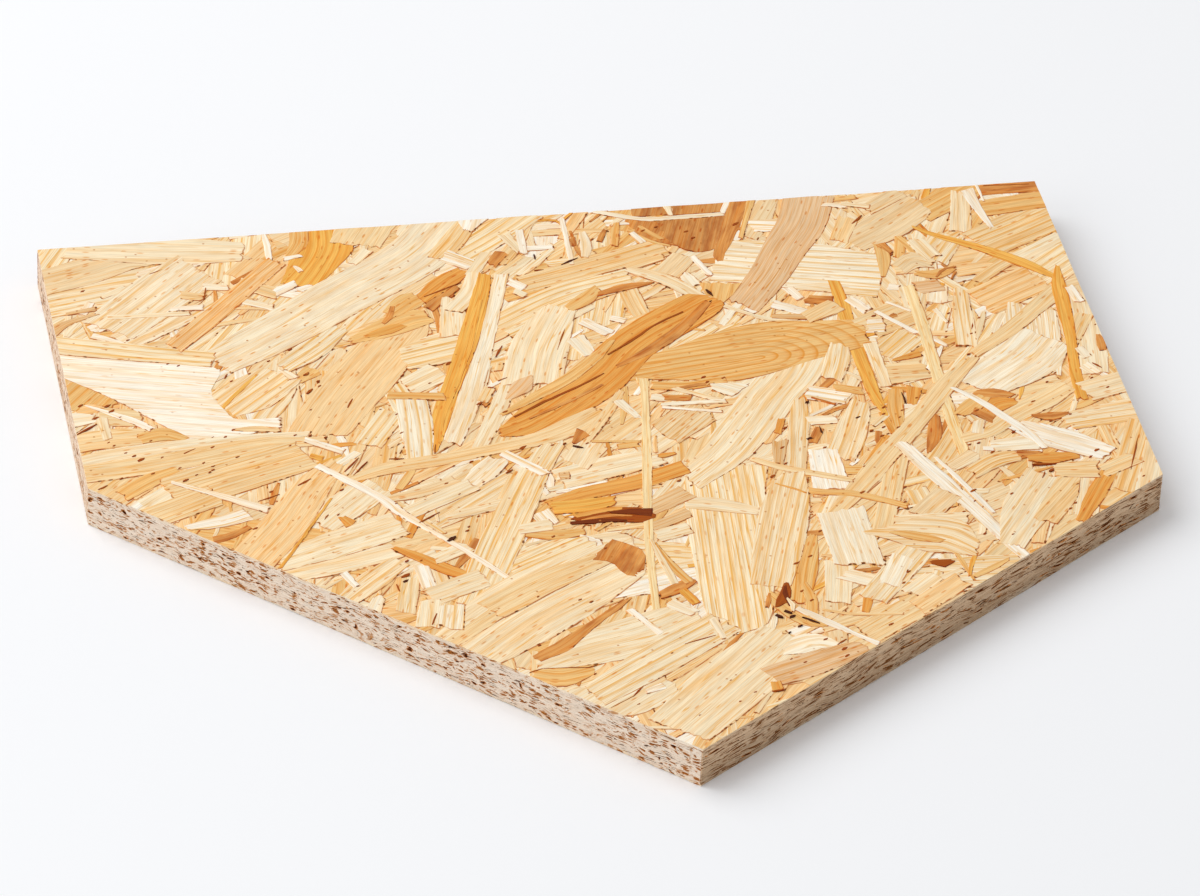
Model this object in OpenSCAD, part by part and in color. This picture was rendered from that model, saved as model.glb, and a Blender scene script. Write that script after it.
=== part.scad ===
// Offcut of oriented strand board (OSB): flat wood strands, glued and hot-pressed
// into one rigid sheet, then sawn. Two corners are the sheet's own square corners,
// and the other three were sawn freehand, so the plan has five sides.
// The board lies flat: Z up, X along the long back edge, and the origin under the
// middle of its bounding box, on the underside.

/* [Sheet] */
// Thickness of the pressed sheet
thickness = 18; // [9:1:25]
// Length of the straight back edge
back_len = 430; // [300:1:900]
// Length of the left edge, square to the back edge
left_len = 172; // [80:1:200]
// Length of the right edge, square to the back edge
right_len = 218; // [80:1:250]
// How far the front corner lies from the back edge
front_reach = 370; // [300:1:600]
// How far the front corner lies from the left edge
front_from_left = 210; // [130:1:250]

/* [Sawn edges] */
// Width of the worn bevel along the top and bottom arrises
arris = 0.4; // [0.2:0.1:0.8]
// Height of the chip broken out of the front corner's top strand
chip_height = 1.2; // [0.6:0.1:2]
// Length of that chip along the left front edge
chip_length = 9; // [4:1:14]
// How far the chip reaches into the board
chip_depth = 0.8; // [0.4:0.1:1.5]

/* [Gaps between strands] */
// Mean spacing of the gaps along a sawn edge
gap_pitch = 8; // [5:1:20]
// Longest gap seen on an edge
gap_length = 4.5; // [2:0.5:4.5]
// Tallest gap seen on an edge
gap_height = 1.3; // [0.6:0.1:1.6]
// How far the deepest gap runs into the board
gap_depth = 3; // [1:0.5:4]
// Depth of the dense surface layers, which have no gaps
skin = 2.5; // [2:0.5:4]
// Number of pits left between strands on each face
pits = 14; // [6:1:24]
// Longest pit on a face
pit_length = 7; // [4:0.5:10]
// Widest pit on a face
pit_width = 2.2; // [1:0.1:3]
// Depth of a pit
pit_depth = 0.9; // [0.4:0.1:1.4]

/* [Hidden] */
slack = 1;          // how far a cutter stands out of the face that it cuts
golden = 0.618034;  // step of the even scatter used for the pits
gap_rows = 4;       // heights at which gaps open, one above another
gap_tilt = 16;      // range of the gaps' slopes, in degrees
pit_spread = 0.36;  // reach of the field of pits, as a share of the sheet's size
pit_shift = 25;     // how far that field's middle lies behind the origin

// Corners in plan, anticlockwise: front, right, back right, back left, left.
corners = [
    [front_from_left - back_len / 2, -front_reach / 2],
    [back_len / 2, front_reach / 2 - right_len],
    [back_len / 2, front_reach / 2],
    [-back_len / 2, front_reach / 2],
    [-back_len / 2, front_reach / 2 - left_len]
];
sides = len(corners);
left_front = sides - 1;  // side that carries the chip

// Side i runs from corner i to the next one.
function corner(i) = corners[i % sides];
function side_vector(i) = corner(i + 1) - corner(i);
function side_length(i) = norm(side_vector(i));
function side_heading(i) = atan2(side_vector(i)[1], side_vector(i)[0]);

// Evenly scattered number from 0 to 1 for item k, another sequence for each seed.
function scatter(k, seed) = (0.5 + k * golden + seed * 0.37) % 1;
// The same, rougher, for sizes that should not follow their neighbour's.
function vary(k, seed) = abs(sin(k * 137.5 + seed * 71));

// Outline of a gap or pit: long and flat, pointed at both ends, as where one strand
// dips away from another.
module sliver(length, height) {
    half = length / 2;
    rise = height / 2;
    polygon([
        [-half, 0], [-0.4 * half, -rise], [0.5 * half, -0.8 * rise],
        [half, 0], [0.3 * half, rise], [-0.5 * half, 0.7 * rise]
    ]);
}

// Puts its children on side i, at distance along it and height above the floor, with
// the child's X along the edge, its Y up and its Z out of the board.
module on_side(i, along, up) {
    translate([corner(i)[0], corner(i)[1], 0])
        rotate([0, 0, side_heading(i)])
            translate([along, 0, up])
                rotate([90, 0, 0])
                    children();
}

// The pressed sheet, sawn to its five-sided outline, with its arrises worn.
module sawn_sheet() {
    hull() {
        linear_extrude(height = thickness) offset(delta = -arris) polygon(corners);
        translate([0, 0, arris])
            linear_extrude(height = thickness - 2 * arris) polygon(corners);
    }
}

// Gaps that show on side i: flat slots where strands bridge others. Each stays clear
// of its neighbours, of the corners and of the dense surface layers.
module edge_gaps(i) {
    margin = gap_length + gap_depth;
    run = side_length(i) - 2 * margin;
    count = max(1, floor(run / gap_pitch));
    low = skin + gap_height;
    row_step = (thickness - 2 * low) / (gap_rows - 1);
    for (k = [0 : count - 1]) {
        size = 0.35 + 0.65 * vary(k, i);
        row = floor(gap_rows * vary(k, i + 5)) % gap_rows;
        wander = 0.4 * row_step * (vary(k, i + 3) - 0.5);
        on_side(i, margin + run * (k + 0.5) / count, low + row_step * row + wander)
            rotate([0, 0, gap_tilt * (vary(k, i + 7) - 0.5)])
                translate([0, 0, -gap_depth * size])
                    linear_extrude(height = gap_depth * size + slack)
                        sliver(gap_length * size, gap_height * (0.5 + 0.5 * size));
    }
}

// Pits on one face, where no strand covers the layer below, scattered over a field
// round the middle of the sheet and well inside the outline.
module face_pits(seed) {
    for (k = [0 : pits - 1]) {
        size = 0.4 + 0.6 * vary(k, seed);
        reach = sqrt((k + 0.5) / pits) * pit_spread;
        turn = 360 * scatter(k, seed);
        translate([back_len * reach * cos(turn),
                   front_reach * reach * sin(turn) + pit_shift, -pit_depth])
            rotate([0, 0, turn * 2.3])
                linear_extrude(height = pit_depth + slack)
                    sliver(pit_length * size, pit_width * size);
    }
}

// Chip where the top strand has broken off the left front edge, beside the front corner.
module corner_chip() {
    on_side(left_front, side_length(left_front) - chip_length, thickness - chip_height)
        translate([0, 0, -chip_depth])
            linear_extrude(height = chip_depth + slack)
                polygon([
                    [0, chip_height + slack], [0, 0.5 * chip_height],
                    [0.35 * chip_length, 0], [0.8 * chip_length, 0.3 * chip_height],
                    [chip_length - arris, chip_height + slack]
                ]);
}

module board() {
    color([0.86, 0.68, 0.44])
        difference() {
            sawn_sheet();
            for (i = [0 : sides - 1]) edge_gaps(i);
            translate([0, 0, thickness]) face_pits(1);
            mirror([0, 0, 1]) face_pits(4);
            corner_chip();
        }
}

board();
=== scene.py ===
# Offcut of oriented strand board lying on a pale studio floor. The sizes below are in
# millimetres, in the board's own frame: X along the back edge, Y to the back, Z up from
# the underside. Each piece is turned into metres when it is finished.
import math
import random
import bmesh
import bpy
from mathutils import Matrix, Vector, noise


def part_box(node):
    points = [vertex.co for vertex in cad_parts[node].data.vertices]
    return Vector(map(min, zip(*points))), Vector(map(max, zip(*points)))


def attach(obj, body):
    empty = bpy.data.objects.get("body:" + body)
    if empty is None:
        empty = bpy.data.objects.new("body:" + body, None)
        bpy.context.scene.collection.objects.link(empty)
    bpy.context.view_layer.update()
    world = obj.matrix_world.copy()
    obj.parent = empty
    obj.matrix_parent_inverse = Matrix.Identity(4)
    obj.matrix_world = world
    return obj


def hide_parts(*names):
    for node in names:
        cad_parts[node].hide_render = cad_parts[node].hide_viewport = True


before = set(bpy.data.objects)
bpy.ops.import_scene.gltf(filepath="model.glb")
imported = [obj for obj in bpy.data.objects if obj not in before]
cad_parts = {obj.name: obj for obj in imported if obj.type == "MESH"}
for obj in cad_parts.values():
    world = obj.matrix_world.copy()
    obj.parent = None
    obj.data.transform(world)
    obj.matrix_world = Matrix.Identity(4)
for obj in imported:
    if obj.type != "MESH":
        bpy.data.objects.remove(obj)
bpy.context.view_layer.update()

# --- Core of the sheet ---------------------------------------------------------------
# The glued middle of the board, which shows only as the dark bottom of the voids in the
# sawn edges and of the pits between the face strands. Its dark brown is partly resin and
# partly painted shade for the depth of those voids. It lies a little inside the cut
# faces, so that the strands round it carry the surface.
LOWEST, HIGHEST = [1000 * Vector(end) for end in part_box("board")]
THICK = HIGHEST.z - LOWEST.z
LEFT_EDGE, RIGHT_EDGE, FRONT_FROM_LEFT = 172, 218, 210
SIDE_DEPTH, FACE_DEPTH = 1.7, 1.3  # how far the core lies inside the sawn sides and faces
CORNERS = [
    Vector((LOWEST.x + FRONT_FROM_LEFT, LOWEST.y)),
    Vector((HIGHEST.x, HIGHEST.y - RIGHT_EDGE)),
    Vector((HIGHEST.x, HIGHEST.y)),
    Vector((LOWEST.x, HIGHEST.y)),
    Vector((LOWEST.x, HIGHEST.y - LEFT_EDGE)),
]
SIDES = []  # start, direction along the cut, outward direction and length of each side
for start, end in zip(CORNERS, CORNERS[1:] + CORNERS[:1]):
    along = (end - start).normalized()
    SIDES.append((start, along, Vector((along.y, -along.x)), (end - start).length))


def tone(red, green, blue):
    """Linear colour of a finish given in 0 to 255 as a paint chart gives it."""
    parts = [c / 255 for c in (red, green, blue)]
    return [p / 12.92 if p <= 0.04045 else ((p + 0.055) / 1.055) ** 2.4 for p in parts] + [1]


def add(kind, values=(), **settings):
    """A node in the tree of the material being made. values pairs each input's name or
    number with a value or a socket."""
    made = tree.nodes.new("ShaderNode" + kind)
    for key, value in settings.items():
        setattr(made, key, value)
    for key, value in dict(values).items():
        if isinstance(value, bpy.types.NodeSocket):
            tree.links.new(value, made.inputs[key])
        else:
            made.inputs[key].default_value = value
    return made


def blend(amount, under, over, mode="MIX"):
    """Colour over laid on colour under by amount."""
    return add("Mix", {0: amount, 6: under, 7: over}, data_type="RGBA", blend_type=mode).outputs[2]


def new_finish(name):
    """A new material, its node tree and the inputs of its surface."""
    made = bpy.data.materials.new(name)
    made.use_nodes = True
    return made, made.node_tree, made.node_tree.nodes["Principled BSDF"].inputs


def thickened(bm, faces, shift):
    """Closes faces to a solid with a shifted copy of them. Returns the copy's verts and faces."""
    copied = bmesh.ops.extrude_face_region(bm, geom=faces)["geom"]
    moved = [part for part in copied if isinstance(part, bmesh.types.BMVert)]
    bmesh.ops.translate(bm, vec=shift, verts=moved)
    return moved, [part for part in copied if isinstance(part, bmesh.types.BMFace)]


def put(name, data):
    """A new object in the scene."""
    made = bpy.data.objects.new(name, data)
    bpy.context.scene.collection.objects.link(made)
    return made


def finish_piece(bm, name, *materials):
    """The bmesh as an object in metres."""
    bmesh.ops.scale(bm, vec=(0.001, 0.001, 0.001), verts=bm.verts)
    mesh = bpy.data.meshes.new(name)
    bm.to_mesh(mesh)
    bm.free()
    for material in materials:
        mesh.materials.append(material)
    return put(name, mesh)


# dark brown, partly resin and partly painted shade for the depths of the voids
shadowed, tree, surface = new_finish("resin_and_painted_shade_core")
flecks = add("TexNoise", {"Vector": add("TexCoord").outputs["Object"], "Scale": 700, "Detail": 3})
tree.links.new(blend(flecks.outputs["Fac"], tone(92, 48, 18), tone(164, 108, 60)),
               surface["Base Color"])
surface["Roughness"].default_value = 0.9

bm = bmesh.new()
plan = bm.faces.new([bm.verts.new((c.x, c.y, FACE_DEPTH)) for c in CORNERS])
plan.normal_update()
bmesh.ops.inset_region(bm, faces=[plan], thickness=SIDE_DEPTH, use_boundary=True,
                       use_even_offset=True)
bmesh.ops.delete(bm, geom=[f for f in bm.faces if f is not plan], context="FACES")
thickened(bm, [plan], (0, 0, THICK - 2 * FACE_DEPTH))
bmesh.ops.recalc_face_normals(bm, faces=bm.faces)
core = finish_piece(bm, "board_core", shadowed)
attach(core, "root")
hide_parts("board")

# --- Sawn edges ----------------------------------------------------------------------
# The five cut sides. Strands lie one on another like leaves of a book, each bending over
# the ends of those below, and small dark voids stay open where they bridge. The saw left
# the ends dull, greyish and a little furry.
sawn, tree, surface = new_finish("sawn_strand_ends")


def calc(operation, *values, clamp=False):
    """Result of a Math node."""
    return add("Math", enumerate(values), operation=operation, use_clamp=clamp).outputs[0]


def times(first, *others):
    for other in others:
        first = calc("MULTIPLY", first, other)
    return first


def plus(first, *others):
    for other in others:
        first = calc("ADD", first, other)
    return first


def scaled(value, factor, start):
    """start and factor times the value."""
    return calc("MULTIPLY_ADD", value, factor, start)


def between(value, none, full):
    """0 up to none, 1 from full on and smooth between. Either may be the larger."""
    return add("MapRange", {0: value, 1: none, 2: full}, interpolation_type="SMOOTHSTEP").outputs[0]


def near_middle(value, far, near):
    """1 where the value is within near of a half, 0 where it is further off than far."""
    return between(calc("ABSOLUTE", calc("SUBTRACT", value, 0.5)), far, near)


def attribute(name, output="Fac"):
    return add("Attribute", attribute_name=name).outputs[output]


def grey(value):
    return add("CombineColor", {0: value, 1: value, 2: value}).outputs[0]


def stretched(vector, along, across, through=1.0):
    """The vector scaled along and across the grain, for a pattern drawn out by it."""
    return add("VectorMath", {0: vector, 1: (along, across, through)},
               operation="MULTIPLY").outputs[0]


def millimetres():
    """The place on the board."""
    return stretched(add("TexCoord").outputs["Object"], 1000, 1000, 1000)


def cloud(vector, detail=2.0, roughness=0.5):
    """A soft irregular pattern, a half on average."""
    return add("TexNoise", {"Vector": vector, "Scale": 1.0, "Detail": detail,
                            "Roughness": roughness}).outputs["Fac"]


def scattered(vector, chosen, dimensions="3D"):
    """Distance to the chosen ones of the places strewn over a pattern, 1 where none is near."""
    strewn = add("TexVoronoi", {"Vector": vector, "Scale": 1.0},
                 voronoi_dimensions=dimensions).outputs
    lot = add("SeparateColor", {0: strewn["Color"]}).outputs[0]
    return calc("MAXIMUM", strewn["Distance"], calc("GREATER_THAN", lot, chosen))


# flow is the height in the layers, which bend up and down and curl where the saw cut
# across the grain. A low reach draws the marks out along the cut.
where = millimetres()
x, y, z = add("SeparateXYZ", {0: where}).outputs
lengthwise = attribute("lengthwise")
crosswise = calc("SUBTRACT", 1.0, lengthwise)
swell = cloud(stretched(where, 0.045, 0.045, 0.08), 1.0)
swirl = cloud(stretched(where, 0.14, 0.14, 0.17), 1.0)
flow = plus(z, scaled(swell, 8.0, -4.0), times(scaled(swirl, 3.4, -1.7), crosswise))
flow = times(flow, scaled(lengthwise, 0.45, 1.0))
reach = scaled(lengthwise, -0.17, 0.28)


def flowing(along, thick):
    """Coordinates that run with the bent layers."""
    run = times(reach, along)
    return add("CombineXYZ", {0: times(x, run), 1: times(y, run), 2: times(flow, thick)}).outputs[0]


def by_cut(across_grain, along_grain):
    """The first colour where the saw cut across the grain and the second where along it."""
    return blend(lengthwise, tone(*across_grain), tone(*along_grain))


fuzz = cloud(stretched(where, 1.5, 1.5, 2.4), 4.0, 0.7)
layers = cloud(flowing(0.5, 1.3), 3.0)
patches = cloud(stretched(where, 0.1, 0.1, 0.22))
inner = between(calc("ABSOLUTE", calc("SUBTRACT", z, 8.4)), 8.4, 5.2)
ragged = scaled(fuzz, 0.6, -0.3)
# Brown strokes, and voids with a stained margin, in patches and mostly in the inner layers.
# The voids are painted, nearly black like the shade inside a real void.
# Then the rims of curled strands, thin dark layers and the seams between strands.
void_share = times(between(patches, 0.4, 0.62), scaled(inner, 0.32, 0.08))
stroke_share = scaled(lengthwise, 0.1, plus(void_share, 0.1))
stroke = plus(scattered(flowing(1.0, 1.1), stroke_share), ragged)
stained, stroke = between(stroke, 0.6, 0.46), between(stroke, 0.48, 0.38)
# painted voids: near-black spots for the shade inside small voids, with a stained margin round them
painted_void = plus(scattered(flowing(1.15, 0.62), times(void_share, 0.7)), ragged)
margin, painted_void = between(painted_void, 0.56, 0.4), between(painted_void, 0.38, 0.28)
curl = times(near_middle(cloud(flowing(0.5, 0.75), 1.0), 0.045, 0.015),
             between(cloud(stretched(where, 0.25, 0.25, 0.35)), 0.44, 0.56))
thin = times(between(layers, 0.54, 0.64), scaled(lengthwise, 0.3, scaled(inner, -0.35, 0.6)))
seam = between(plus(calc("ABSOLUTE", attribute("seam")), scaled(fuzz, 1.6, -1.05)), 0.7, 1.0)
# painted shade: the faces that run back into the board, seen in the voids, turn brown with depth
inside = add("MapRange", {0: attribute("deep"), 1: 0.15, 2: 0.4}).outputs[0]
# painted shade: the sides cut along the grain grow darker towards the floor, by up to about a
# quarter
painted_shade_below = add("MapRange", {0: z, 1: 15.0, 2: 0.0, 4: 0.28}).outputs[0]

level = plus(times(fuzz, 0.8), times(layers, scaled(lengthwise, 0.5, 0.5)),
             scaled(lengthwise, -0.25, 0.36))
level = times(level, calc("SUBTRACT", 1.0, times(lengthwise, painted_shade_below)))
colour = blend(0.65, attribute("tint", "Color"), by_cut((240, 223, 205), (228, 196, 162)))
colour = blend(1.0, colour, grey(level), "MULTIPLY")
for amount, brown in (
        (times(seam, 0.4), tone(158, 112, 72)),
        (times(thin, 0.7), by_cut((166, 114, 68), (132, 88, 50))),
        (times(curl, 0.8), by_cut((186, 118, 46), (128, 76, 28))),
        (times(margin, 0.85), tone(200, 120, 36)),
        (times(stained, 0.5), by_cut((216, 146, 62), (176, 116, 56))),
        (times(stroke, 0.9), by_cut((158, 86, 8), (110, 60, 10))),
        (painted_void, tone(84, 34, 2)),
        (inside, tone(160, 92, 42))):
    colour = blend(amount, colour, brown)
tree.links.new(colour, surface["Base Color"])
surface["Roughness"].default_value = 0.85
surface["Specular IOR Level"].default_value = 0.06
height = calc("SUBTRACT", times(fuzz, 0.5), plus(painted_void, stroke))
tree.links.new(add("Bump", {"Strength": 0.6, "Distance": 0.0003, "Height": height}).outputs[0],
               surface["Normal"])

EDGE_BOTTOM, EDGE_TOP = 0.7, 17.3   # the strands of the two faces cover the rest
MIDDLE = 9                          # height of the middle of the thickness
PITCH = 1.5                         # spacing of the places at which a side is measured
CUT_DEPTH = 2.4                     # how far the edge's strands are modelled into the board
THIN, STOUT = 0.4, 0.85             # range of the strands' thickness in the pressed pile
# colours of the strands cut across the grain, and of those cut along it
ENDS = [tone(238, 219, 198), tone(228, 205, 181), tone(242, 226, 206), tone(218, 192, 164),
        tone(233, 208, 180)]
LENGTHS = [tone(212, 180, 145), tone(196, 162, 126), tone(222, 193, 160), tone(184, 148, 110)]
dice = random.Random(3)


def pointing(degrees):
    """Level direction, that many degrees round from the back edge's."""
    return Vector((math.cos(math.radians(degrees)), math.sin(math.radians(degrees))))


GRAIN = pointing(40)                # the way most strands lie


def with_grain(along):
    """How far a cut in this direction runs with the grain of most strands, 0 to 1."""
    return abs(along.dot(GRAIN)) ** 3


def settle(heights, first, last, reach):
    """Where a strand comes to rest on the pile from first to last: it bridges hollows
    narrower than twice its reach."""
    def over(k):
        return max(heights[max(0, k - reach):k + reach + 1])
    return [sum(over(j) for j in range(k - reach, k + reach + 1)) / (2 * reach + 1)
            for k in range(first, last + 1)]


def deposit(length, along_grain):
    """Strands that fill a side of this length, cut shorter in the middle of the thickness and
    longer along the grain: each one's first place, and the heights of its lower and upper
    side at every place from there on."""
    heights = [EDGE_BOTTOM] * (round(length / PITCH) + 1)
    strips = []
    while min(heights) < EDGE_TOP:
        lowest = min(range(len(heights)), key=lambda k: heights[k] + dice.uniform(0, 1.0))
        inmost = 1 - abs(heights[lowest] - MIDDLE) / MIDDLE
        run = dice.uniform(14, 50) - 22 * inmost * dice.random()
        steps = int(run * (0.6 + 0.9 * along_grain) / PITCH)
        first = max(0, int(lowest - steps * dice.uniform(0.1, 0.9)))
        last = min(len(heights) - 1, first + steps)
        if last - first < 3:
            continue
        thickness = dice.uniform(THIN, STOUT)
        lower, upper = [], []
        for k, rest in enumerate(settle(heights, first, last, dice.choice((1, 1, 2)))):
            ground = heights[first + k]
            spot = Vector((0.4 * (first + k), 0.5 * ground, length))
            hollow = rest - ground > 0.15 and noise.noise(spot) > 0.3
            if hollow:
                rest = max(rest, ground + 0.4)
            lower.append(rest if hollow else ground - 0.02)
            upper.append(rest + thickness * min(1.0, 0.4 + 0.3 * min(k, last - first - k)))
        heights[first:last + 1] = upper
        strips.append((first, lower, upper))
    # the press squeezes every place to the same height
    crest = settle(heights, 0, len(heights) - 1, 3)
    return [(first, *[[EDGE_BOTTOM + (z - EDGE_BOTTOM) * (EDGE_TOP - EDGE_BOTTOM)
                       / (crest[first + k] - EDGE_BOTTOM) for k, z in enumerate(line)]
                      for line in (lower, upper)]) for first, lower, upper in strips]


for (start, along, out, length), name in zip(
        SIDES, ("edge_front_right", "edge_right", "edge_back", "edge_left", "edge_front_left")):
    edge_bm = bmesh.new()
    tint = edge_bm.verts.layers.float_color.new("tint")
    seam = edge_bm.verts.layers.float.new("seam")
    cut_grain = edge_bm.verts.layers.float.new("lengthwise")
    deep = edge_bm.verts.layers.float.new("deep")
    along_grain = with_grain(along)
    for first, lower, upper in deposit(length, along_grain):
        steps = len(lower) - 1
        colour = dice.choice(LENGTHS if dice.random() < along_grain else ENDS)
        stands_out = dice.uniform(-0.06, 0.03)
        grid = bmesh.ops.create_grid(edge_bm, x_segments=steps, y_segments=1, size=1)["verts"]
        for v in grid:
            k = round((v.co.x + 1) / 2 * steps)
            v[seam] = v.co.y
            v[tint] = colour
            v[cut_grain] = along_grain
            line = upper if v.co.y > 0 else lower
            place = start + along * min((first + k) * PITCH, length) + out * stands_out
            v.co = (place.x, place.y, line[k])
        faces = list(dict.fromkeys(f for v in grid for f in v.link_faces))
        for v in thickened(edge_bm, faces, (-CUT_DEPTH * out).to_3d())[0]:
            v[deep] = 1.0
    bmesh.ops.recalc_face_normals(edge_bm, faces=edge_bm.faces)
    edge = finish_piece(edge_bm, name, sawn)
    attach(edge, "root")

# --- Face strands --------------------------------------------------------------------
# Flat strands shaved from softwood logs, 0.6 to 0.8 mm thick, that lie over one another
# as they fell and were pressed flush. Their ends are torn along the grain, and some show
# the orange bands of late wood.
FINISHES = {
    # colour, strength of the late wood bands, their spacing, brown marks
    "white": ((252, 244, 227), 0.28, 4.5, 0.4),
    "ivory": ((250, 238, 212), 0.30, 5.0, 0.5),
    "cream": ((248, 231, 197), 0.32, 5.5, 0.8),
    "pale": ((247, 231, 199), 0.22, 7.0, 1.0),
    "straw": ((247, 227, 190), 0.40, 5.0, 0.8),
    "paleyellow": ((248, 223, 172), 0.40, 2.4, 0.3),
    "tan": ((244, 215, 166), 0.42, 4.0, 0.9),
    "dun": ((240, 214, 171), 0.25, 3.0, 0.9),
    "taupe": ((231, 196, 148), 0.60, 2.0, 0.9),
    "faint": ((247, 230, 198), 0.60, 6.5, 0.8),
    "banded": ((249, 231, 194), 0.90, 4.0, 0.8),
    "striped": ((250, 233, 198), 1.00, 3.3, 0.5),
    "honey": ((238, 195, 128), 0.60, 3.6, 0.8),
    "gold": ((240, 185, 92), 0.70, 3.0, 0.7),
    "amber": ((233, 172, 90), 0.80, 3.0, 0.9),
    "peach": ((247, 212, 159), 0.45, 3.4, 0.8),
    "pink": ((234, 199, 156), 0.50, 2.4, 0.9),
    "rose": ((246, 207, 152), 0.95, 3.4, 1.0),
    "rust": ((225, 162, 90), 0.60, 2.6, 1.4),
    "brown": ((215, 155, 88), 0.60, 2.2, 1.5),
    "bark": ((164, 82, 8), 0.60, 2.0, 1.0),
    "char": ((122, 52, 2), 0.60, 2.0, 1.0),
    # open gaps, laid as dark flat strands: their colour is painted shade
    "pit": ((80, 34, 4), 0.20, 2.0, 0.0),
}
# a second word after the finish sets the strength and spacing of the bands anew
MOODS = {"lined": (0.85, 4.2), "fine": (0.7, 2.2), "broad": (0.55, 5.5), "smooth": (0.25, 3.0),
         "rings": (0.95, 3.0)}
HEART, HEART_TURN = Vector((70, 69)), 8  # middle of the curved bands, and their tilt in degrees
STEP = 0.05         # how much each further strand of the pile stands higher
STRAND = 0.7        # thickness of a strand
SWAY, SUNK = 0.03, 0.04     # how much its surface rises and falls, and its borders are pressed in
FACE_LONG, FACE_WIDE = 4, 2.3   # size of its mesh's faces along and across the grain
RIM = 1.0           # width of the marked strip along a strand's borders
PAINTED_SHADOW_SIDE = Vector((0.6, -0.8))  # the side turned away from the key lamp: a strand's border line there is painted shadow
CELL = 3.0          # grid on which the pile of strands is measured
FOOT = 0.22         # how far the underside's highest strands stand out, on which the board rests


def bent(values, runs, at):
    """Smooth curve through values, read at a distance along it."""
    k = max(i for i in range(len(runs) - 1) if i == 0 or runs[i] <= at)
    run = runs[k + 1] - runs[k]
    p = min(max((at - runs[k]) / run, 0.0), 1.0)
    before, after = max(k - 1, 0), min(k + 2, len(values) - 1)
    a, b = values[k], values[k + 1]
    lead = (b - values[before]) * run / (runs[k + 1] - runs[before])
    tail = (values[after] - a) * run / (runs[after] - runs[k])
    return (a * (2 * p**3 - 3 * p**2 + 1) + lead * (p**3 - 2 * p**2 + p)
            + b * (3 * p**2 - 2 * p**3) + tail * (p**3 - p**2))


def spaced(count, rim):
    """Even places from 0 to 1, with one more close to each end for the rim."""
    rim = min(rim, 0.3 / count)
    return [0, rim] + [rim + (1 - 2 * rim) * k / count for k in range(1, count)] + [1 - rim, 1]


class Strand:
    """Outline of a strand: its left and right border along the grain. A station is its
    middle and width there, or its two border points. grain is the direction of the fibres
    in degrees, where they don't follow the outline."""

    def __init__(self, finish, stations, grain):
        self.finish, self.grain = finish, grain
        points = [Vector(s[:2]) if len(s) == 3 else (Vector(s[:2]) + Vector(s[2:])) / 2
                  for s in stations]
        self.left, self.right, self.runs = [], [], [0.0]
        for k, s in enumerate(stations):
            way = points[min(k + 1, len(points) - 1)] - points[max(k - 1, 0)]
            side = Vector((-way.y, way.x)).normalized() * s[-1] / 2
            self.left.append(points[k] + side if len(s) == 3 else Vector(s[:2]))
            self.right.append(points[k] - side if len(s) == 3 else Vector(s[2:]))
            if k:
                self.runs.append(self.runs[-1] + (points[k] - points[k - 1]).length)
        self.length = self.runs[-1]
        self.width = max((a - b).length for a, b in zip(self.left, self.right))

    def ends(self, at):
        return bent(self.left, self.runs, at), bent(self.right, self.runs, at)


def nearby(cells, cell):
    """Values at a cell of the grid and at those round it."""
    i, j = cell
    block = ((i + m, j + n) for m in (-1, 0, 1) for n in (-1, 0, 1))
    return [cells[c] for c in block if c in cells]


def reading(cells, place, missing=0.0):
    """Value of the grid at a place, smooth between its cells."""
    x, y = place.x / CELL, place.y / CELL
    i, j = math.floor(x), math.floor(y)
    p, q = x - i, y - j
    parts = [(cells[i + m, j + n], (p if m else 1 - p) * (q if n else 1 - q))
             for m in (0, 1) for n in (0, 1) if (i + m, j + n) in cells]
    total = sum(share for _, share in parts)
    return sum(value * share for value, share in parts) / total if total > 0.001 else missing


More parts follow.
